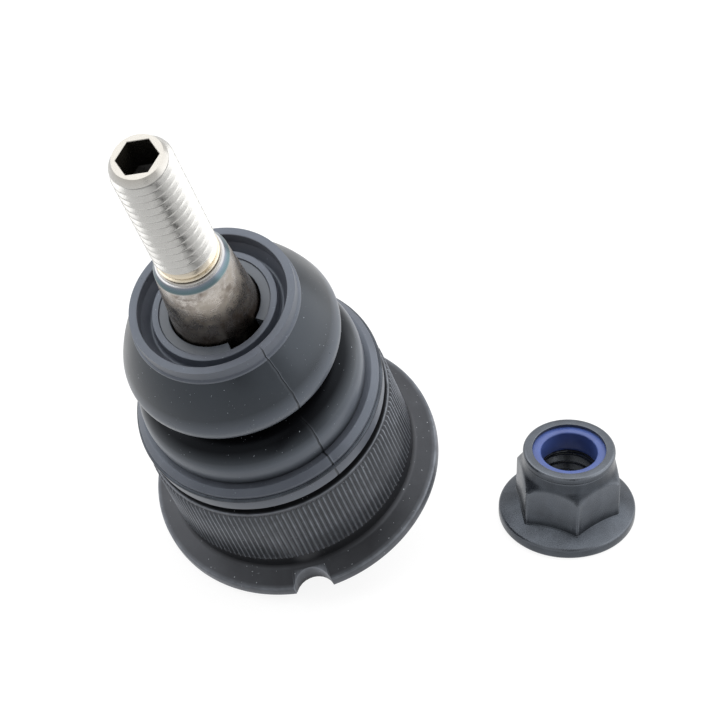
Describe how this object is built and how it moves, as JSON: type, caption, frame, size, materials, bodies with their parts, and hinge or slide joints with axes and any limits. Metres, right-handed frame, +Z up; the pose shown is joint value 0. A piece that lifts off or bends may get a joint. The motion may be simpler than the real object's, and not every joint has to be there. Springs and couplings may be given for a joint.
{
  "type": "suspension ball joint",
  "caption": "Press-in ball joint with serrated flanged housing, rubber boot and tapered threaded stud, shown with its loose flange lock nut.",
  "frame": {"origin": "centre of the ball, about which the stud swings, on the axis of the housing's serrated press band", "axes": "+Z straight up from the floor that the part lies on and along the nut's axis; +X from the joint towards its nut; the joint leans 22.3 degrees from +Z towards azimuth 228.9 degrees, as it lies on its domed cover and its flange"},
  "size_m": [0.1112, 0.0714, 0.128],
  "materials": {
    "housing_black_steel": "satin",
    "bearing_plastic": "matte",
    "preload_elastomer": "matte",
    "stud_steel": "machined",
    "ring_steel": "blackened",
    "boot_rubber": "satin",
    "split_ring_plastic": "matte",
    "nut_zinc_steel": "satin",
    "insert_nylon": "satin"
  },
  "bodies": {
    "housing": {"housing": "housing_black_steel", "end_cover": "housing_black_steel", "upper_bearing_ring": "bearing_plastic", "lower_bearing_cup": "bearing_plastic", "preload_ring": "preload_elastomer", "boot_press_ring": "ring_steel", "boot_foot": "boot_rubber", "boot_clamp_ring": "ring_steel"},
    "boot_waist": {"boot_lower_fold": "boot_rubber"},
    "boot_head": {"boot_upper_fold": "boot_rubber", "boot_collar": "boot_rubber", "collar_split_ring": "split_ring_plastic"},
    "stud": {"ball_stud": "stud_steel"},
    "nut": {"flange_nut": "nut_zinc_steel", "locking_insert": "insert_nylon"}
  },
  "joints": [
    {"name": "swing_along_lean", "type": "hinge", "parent": "housing", "child": "boot_waist", "pos_m": [0, 0, 0], "axis": [0.7536, -0.6574, 0], "range_deg": [-18, 18], "deforming": ["boot_lower_fold"]},
    {"name": "swing_across_lean", "type": "hinge", "parent": "boot_waist", "child": "boot_head", "pos_m": [0, 0, 0], "axis": [0.6083, 0.6973, 0.3792], "range_deg": [-18, 18], "deforming": ["boot_upper_fold"]},
    {"name": "stud_spin", "type": "hinge", "parent": "boot_head", "child": "stud", "pos_m": [0, 0, 0], "axis": [-0.2493, -0.2857, 0.9253], "continuous": true},
    {"name": "nut_lift", "type": "slide", "parent": "housing", "child": "nut", "axis": [0, 0, 1], "range_m": [0, 0.08]}
  ]
}
